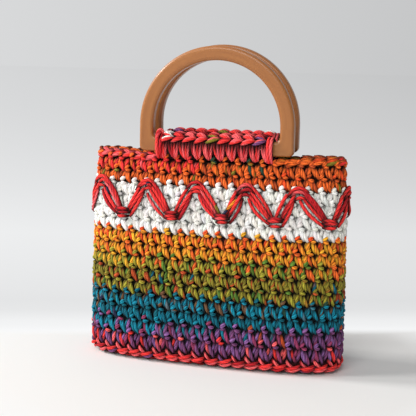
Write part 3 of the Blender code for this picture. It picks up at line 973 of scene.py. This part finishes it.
@dataclass
class HandleCasing:
    """The sleeve of tall stitches round a handle's bar, with a plait along its top."""

    end: str
    side: float
    bar_y: float
    bar_z: float
    radius: float = 9.76 * MM
    half: float = 47.3 * MM
    foot: float = 0.1648
    groups: int = 10
    jitter: tuple[float, float] = (0.025, 1.2)
    crown: float = 0.2 * MM
    plait_shift: float = 0.4
    end_places: tuple[float, float] = (1.3 * MM, 3.7 * MM)
    knot_place: float = 0.4 * MM
    core_depth: float = 1.7 * MM
    bore_depth: float = 2.8 * MM
    web: float = 2.4 * MM
    core_steps: int = 34
    fleck_reach: float = 4.6
    seed: int = 31

    def place(self, x: Array, degrees: Array, out: Array) -> tuple[Array, Array]:
        """Points round the bar, and their outward directions.

        Args:
            x: places along the bar.
            degrees: angles round it, 0 on top and 90 on the side away from the other handle.
            out: distances outwards from the sleeve's crowns.

        Returns:
            The points and the unit directions.
        """
        turn = np.radians(degrees)
        outward = np.stack([np.zeros_like(turn), self.side * np.sin(turn), np.cos(turn)], axis=-1)
        middle = np.stack([x, np.full_like(x, self.bar_y), np.full_like(x, self.bar_z)], axis=-1)
        return middle + outward * (self.radius + out)[..., None], outward

    def lay(
        self, mesh: YarnMesh, dice: Dice, stitch: Stitch, starts: Sequence[float], steps: int = 9,
        flecks: Sequence[tuple[float, Yarn, int]] = (),
    ) -> None:
        """Adds copies of a stitch along the bar.

        Args:
            mesh: the mesh to add to.
            dice: the seeded random numbers.
            stitch: a stitch whose points are a share of a group's width, degrees round the bar and millimetres out.
            starts: where each copy starts, in metres along the bar.
            steps: points along a strand.
            flecks: places in millimetres along the bar where one of the two yarns is another one.
        """
        knots, yarn = stitch.copies(len(starts))
        knots[..., 0] += dice.normal(0.0, self.jitter[0], knots.shape[:-1])
        knots[..., 1] += dice.normal(0.0, self.jitter[1], knots.shape[:-1])
        path = through(knots, steps)
        x = -self.side * (np.asarray(starts)[:, None, None] + path[..., 0] * (2 * self.half / self.groups))
        out = path[..., 2] * MM
        points, outward = self.place(x, path[..., 1], out)
        radii = stitch.radii(len(starts), steps, dice)
        along = -self.side * x[..., steps // 2]
        colours = yarn_colours(CASING_YARN, along, yarn, dice)
        for middle, other, of_yarn in flecks:
            here = (np.abs(along / MM - middle) < self.fleck_reach) & (yarn == of_yarn)
            colours = np.where(here[..., None], other.both_plies(), colours)
        mesh.add_strands(points, outward, radii, out - self.crown, colours)

    def build(self) -> None:
        """Builds the casing as one piece."""
        mesh = YarnMesh(f"{self.end}_casing_stitches", shade=0.9)
        dice = np.random.default_rng(self.seed + int(self.side))
        width = 2 * self.half / self.groups
        starts = -self.half + np.arange(self.groups) * width
        self.lay(mesh, dice, TALL_STITCH, starts)
        self.lay(mesh, dice, BACK_STITCH, starts, 7)
        self.lay(mesh, dice, PLAIT, starts[:-1] + self.plait_shift * width, flecks=CASING_FLECKS)
        near, far = self.half - self.end_places[0], self.half - self.end_places[1]
        for start in (-near, -far, far, near):
            self.lay(mesh, dice, CASING_END, [start], 13)
        if self.end == "front":
            self.lay(mesh, dice, KNOT, [-self.half + self.knot_place])
        self.core(mesh)
        mesh.build("red_yarn", f"{self.end}_handle_casing")

    def core(self, mesh: YarnMesh) -> None:
        """Adds the sleeve under the strands, painted dark as shade, with its round bore and the web that stands on the
        wall.
        """
        outer, bore = self.radius - self.core_depth, self.radius - self.bore_depth
        start = math.asin(self.web / outer)
        turn = np.linspace(start, 2 * math.pi - start, self.core_steps)
        drop = self.bar_z - self.foot
        round_it = outer * np.stack([np.sin(turn), -np.cos(turn)], axis=1)
        skin = np.concatenate([[[self.web, -drop]], round_it, [[-self.web, -drop]]])
        size = len(skin)
        hole = np.linspace(0.0, 2 * math.pi, size + 1)[:-1] + math.pi / size
        inside = bore * np.stack([np.sin(hole), -np.cos(hole)], axis=1)
        loops = [
            np.concatenate([np.full((size, 1), x), loop + (self.bar_y, self.bar_z)], axis=1)
            for x, loop in ((-self.half, skin), (self.half, skin), (self.half, inside), (-self.half, inside))
        ]
        mesh.add_ring(np.array(loops), CRIMSON)


@dataclass
class WoodHandle:
    """A flat D of wood with rounded edges."""

    end: str
    bar_y: float
    bar_z: float
    width: float = 0.126
    height: float = 0.0845
    band: float = 0.0113
    thickness: float = 0.009
    edge: float = 2.5 * MM
    edge_line: float = 0.4 * MM
    outer_corner: float = 4.5 * MM
    inner_corner: float = 4.0 * MM
    arc_steps: int = 96
    corner_steps: int = 12
    edge_steps: int = 6

    def outline(self, radius: float, bottom: float, corner: float) -> Array:
        """One edge of the D: a half circle over the top, then straight legs, round corners and the bar."""
        arch = self.height - self.width / 2 - self.band / 2
        over = np.linspace(0.0, math.pi, self.arc_steps + 1)
        parts = [np.stack([radius * np.cos(over), arch + radius * np.sin(over)])]
        for side, start in ((-1, math.pi), (1, 1.5 * math.pi)):
            turn = np.linspace(start, start + math.pi / 2, self.corner_steps + 1)
            middle = np.array([[side * (radius - corner)], [bottom + corner]])
            parts.append(middle + corner * np.stack([np.cos(turn), np.sin(turn)]))
        return np.concatenate(parts, axis=1).T

    def section(self) -> tuple[Array, Array, Array]:
        """The section's edge: distance from the inner edge, distance from the outer edge, and depth.

        Each corner is a quarter circle, with a spare line just inside the flats so that they shade flat.
        """
        turn = np.radians(np.linspace(0.0, 90.0, self.edge_steps))
        flat, half = self.thickness / 2 - self.edge, self.thickness / 2
        line, spare = self.edge + self.edge_line, self.edge_line / 2
        corner, drop = self.edge * (1 - np.sin(turn)), flat + self.edge * np.cos(turn)
        inset = np.concatenate([[line], corner, [0.0, 0.0], corner[::-1], [line]])
        depth = np.concatenate([[half], drop, [flat - spare, -flat + spare], -drop[::-1], [-half]])
        blank = np.full(len(inset), np.nan)
        inner, outer = np.concatenate([blank, inset[::-1]]), np.concatenate([inset, blank])
        return inner, outer, np.concatenate([depth, depth[::-1]])

    def build(self) -> None:
        """Builds the handle as one piece."""
        outer = self.outline(self.width / 2, -self.band / 2, self.outer_corner)
        inner = self.outline(self.width / 2 - self.band, self.band / 2, self.inner_corner)
        from_inner, from_outer, depth = self.section()
        across = np.linalg.norm(outer - inner, axis=1)[:, None]
        share = np.where(np.isnan(from_outer), from_inner / across, 1 - from_outer / across)
        flat = inner[:, None] + (outer - inner)[:, None] * share[..., None]
        y = self.bar_y + np.broadcast_to(depth, share.shape)
        points = np.stack([flat[..., 0], y, self.bar_z + flat[..., 1]], axis=-1)
        number = np.arange(share.size).reshape(share.shape)
        after = np.roll(number, -1, axis=0)
        quads = np.stack([number, after, np.roll(after, -1, 1), np.roll(number, -1, 1)], axis=-1).reshape(-1, 4)
        mesh = bpy.data.meshes.new(f"{self.end}_wood_handle")
        mesh.from_pydata(points.reshape(-1, 3).tolist(), [], quads.tolist())
        middle = (outer + inner) / 2
        along = np.concatenate([[0.0], np.cumsum(np.linalg.norm(np.diff(middle, axis=0), axis=1))])
        closing = along[-1] + np.linalg.norm(middle[0] - middle[-1])
        edge = np.concatenate([[0.0], np.cumsum(np.hypot(np.diff(depth), np.diff(share[0] * self.band)))])
        low, high = along[:, None], np.append(along[1:], closing)[:, None]
        low, high, left, right = np.broadcast_arrays(low, high, edge, np.append(edge[1:], edge[-1] + 5 * MM))
        maps = np.stack([low, left, high, left, high, right, low, right], axis=-1)
        mesh.uv_layers.new(name="grain").uv.foreach_set("vector", maps.astype(np.float32).ravel())
        show(mesh, WoodFinish().build(), f"{self.end}_handle", f"{self.end}_handle")


@dataclass
class Studio:
    """The pale floor, the soft lamps and the camera."""

    azimuth: float = 14.2
    elevation: float = 8.85
    distance: float = 0.738
    roll: float = 1.38
    focal: float = 905.6
    middle: tuple[float, float] = (217.8, 208.4)
    target: Point = (0.0, 0.0, 0.125)
    frame_size: float = 416.0
    lit: Point = (0.0, 0.0, 0.09)
    lamp_colour: Point = (1.0, 0.985, 0.96)
    ambient: float = 0.32
    reach: float = 60.0
    near: float = 0.17
    far: float = 0.26
    slant: tuple[float, float] = (-0.33, 0.944)
    apron: float = 0.25
    halfway: float = 0.5
    painted_side_falloff: float = 0.4
    edge: tuple[float, float] = (0.060, 0.078)
    # Painted tones of the backdrop's light, by s.
    tones: tuple[tuple[float, float], ...] = (
        (0.0, 250), (0.12, 251), (0.155, 244), (0.18, 241), (0.225, 230), (0.268, 227), (0.31, 229), (0.43, 233),
        (0.53, 236), (0.70, 227), (0.87, 221), (1.0, 218),
    )

    def camera(self) -> None:
        """Sets the camera: back is the way from the target to it, and the roll turns its right and up about back."""
        az, el, roll = (math.radians(value) for value in (self.azimuth, self.elevation, self.roll))
        back = Vector((math.sin(az) * math.cos(el), -math.cos(az) * math.cos(el), math.sin(el)))
        right = Vector((math.cos(az), math.sin(az), 0.0))
        up = back.cross(right)
        across = right * math.cos(roll) + up * math.sin(roll)
        above = up * math.cos(roll) - right * math.sin(roll)
        data = bpy.data.cameras.new("photo_camera")
        data.lens = self.focal / self.frame_size * data.sensor_width
        data.shift_x = (self.frame_size / 2 - self.middle[0]) / self.frame_size
        data.shift_y = (self.middle[1] - self.frame_size / 2) / self.frame_size
        data.clip_start = 0.01
        camera = new_object("photo_camera", data)
        turn = Matrix((across, above, back)).transposed().to_4x4()
        camera.matrix_world = Matrix.Translation(Vector(self.target) + back * self.distance) @ turn
        bpy.context.scene.camera = camera

    def lamp(self, name: str, place: Point, size: float, light: float) -> None:
        """Adds a square soft lamp that points at the bag.

        Args:
            name: the lamp's name.
            place: where it hangs.
            size: its side.
            light: the value at which it shows a white card held square to it by the bag; its power is that times
                pi squared and the square of its distance.
        """
        way = Vector(self.lit) - Vector(place)
        data = bpy.data.lights.new(name, "AREA")
        data.size = size
        data.energy = light * math.pi**2 * way.length_squared
        data.color = self.lamp_colour
        made = new_object(name, data)
        made.location = place
        made.rotation_euler = way.to_track_quat("-Z", "Y").to_euler()

    def seen(self, tree: Tree) -> Socket:
        """A socket that is 1 for what is seen directly, in a gloss or through glass."""
        path = add_node(tree, "LightPath").outputs
        both = math_node(tree, "MAXIMUM", path["Is Camera Ray"], path["Is Glossy Ray"])
        return math_node(tree, "MAXIMUM", both, path["Is Transmission Ray"])

    def floor(self) -> None:
        """A wide floor: matt white near the bag, and further off a glow of painted light in the backdrop's pale tones.

        With d the distance from the bag, w the distance behind it at a fixed slant, or in front of it past an apron,
        and s = w / (w + 0.5), the painted tone is read off a ramp by s, and goes down towards the right by 0.4 s^2 (x/d
        + 0.5), a painted falloff of the light. The floor passes over to the glow as d goes from near to far, or as w
        goes over the edge, where the glow cuts off the floor's real shadow in a crisp line.
        """
        mesh = bpy.data.meshes.new("studio_floor")
        corners = [(x * self.reach, y * self.reach, 0.0) for x, y in ((-1, -1), (1, -1), (1, 1), (-1, 1))]
        mesh.from_pydata(corners, [], [(0, 1, 2, 3)])
        made, tree, shader = new_material("studio_floor")
        calc = partial(math_node, tree)
        feed(tree, shader, {"Base Color": (0.86, 0.86, 0.855, 1.0), "Roughness": 0.9, "Specular IOR Level": 0.1})
        place = add_node(tree, "TexCoord").outputs["Object"]
        x, y, _ = add_node(tree, "SeparateXYZ", {0: place}).outputs
        away = add_node(tree, "VectorMath", {0: place}, operation="LENGTH").outputs["Value"]
        behind = calc("MULTIPLY_ADD", y, self.slant[1], calc("MULTIPLY", x, self.slant[0]))
        before = calc("MULTIPLY_ADD", behind, -1.0, -self.apron)
        back = calc("MAXIMUM", calc("MAXIMUM", behind, before), 0.0)
        share = calc("DIVIDE", back, calc("ADD", back, self.halfway))
        side = calc("ADD", calc("DIVIDE", x, away), 0.5)
        painted_falloff = calc("MULTIPLY", calc("MULTIPLY", share, share), side)
        stops = [(position, (tone - 1, tone, tone + 1)) for position, tone in self.tones]
        strength = calc("MULTIPLY_ADD", painted_falloff, -self.painted_side_falloff, 1.0)
        # Painted light: the backdrop glows with tones that stand in for the lamps' uneven light.
        painted_glow = add_node(tree, "Emission", {"Color": ramp_node(tree, share, stops), "Strength": strength})
        start = calc("DIVIDE", calc("SUBTRACT", away, self.near), self.far - self.near, clamp=True)
        # Past this edge the glow hides the floor's real shadow.
        over = calc("DIVIDE", calc("SUBTRACT", behind, self.edge[0]), self.edge[1] - self.edge[0], clamp=True)
        smooth = calc("SMOOTH_MIN", calc("MAXIMUM", start, over), 1.0, 0.3)
        ways = {0: calc("MULTIPLY", smooth, self.seen(tree)), 1: shader.outputs[0], 2: painted_glow.outputs[0]}
        feed(tree, tree.nodes["Material Output"], {"Surface": add_node(tree, "MixShader", ways).outputs[0]})
        mesh.materials.append(made)
        new_object("studio_floor", mesh)

    def world(self) -> None:
        """A pale surrounding light, seen as the backdrop's farthest tone with a painted falloff that goes down towards
        the right.
        """
        world = bpy.data.worlds.new("studio_light")
        world.use_nodes = True
        tree = world.node_tree
        light = tree.nodes["Background"]
        feed(tree, light, {"Color": (0.98, 0.99, 1.0, 1.0), "Strength": self.ambient})
        x, _, _ = add_node(tree, "SeparateXYZ", {0: add_node(tree, "TexCoord").outputs["Generated"]}).outputs
        side = math_node(tree, "ADD", x, 0.5)
        strength = math_node(tree, "MULTIPLY_ADD", side, -self.painted_side_falloff, 1.0)
        tone = self.tones[-1][1]
        colour = (*to_linear((tone - 1, tone, tone + 1)), 1.0)
        shown = add_node(tree, "Background", {"Color": colour, "Strength": strength})
        ways = {0: self.seen(tree), 1: light.outputs[0], 2: shown.outputs[0]}
        feed(tree, tree.nodes["World Output"], {"Surface": add_node(tree, "MixShader", ways).outputs[0]})
        bpy.context.scene.world = world

    def build(self) -> None:
        """Sets the whole studio."""
        bpy.context.scene.view_settings.view_transform = "Standard"
        self.camera()
        self.floor()
        self.world()
        self.lamp("left_lamp", (-1.90, -0.16, 1.35), 0.36, 0.50)
        self.lamp("left_front_lamp", (-1.75, -0.70, 1.35), 0.36, 0.38)
        self.lamp("front_lamp", (-0.15, -1.45, 1.10), 1.00, 0.42)


def main() -> None:
    """Builds the bag from the base up, then the handles and the studio."""
    logging.basicConfig(level=logging.INFO, format="%(message)s")
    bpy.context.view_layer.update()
    surface = BagSurface()
    WovenBase(surface).build()
    StripedWall(surface).build()
    RimChain(surface).build()
    ZigzagBraid(surface).build()
    for end, side, bar_z in (("front", -1.0, FRONT_BAR_Z), ("rear", 1.0, REAR_BAR_Z)):
        HandleCasing(end, side, side * BAR_Y, bar_z).build()
        WoodHandle(end, side * BAR_Y, bar_z).build()
    Studio().build()


if __name__ == "__main__":
    main()
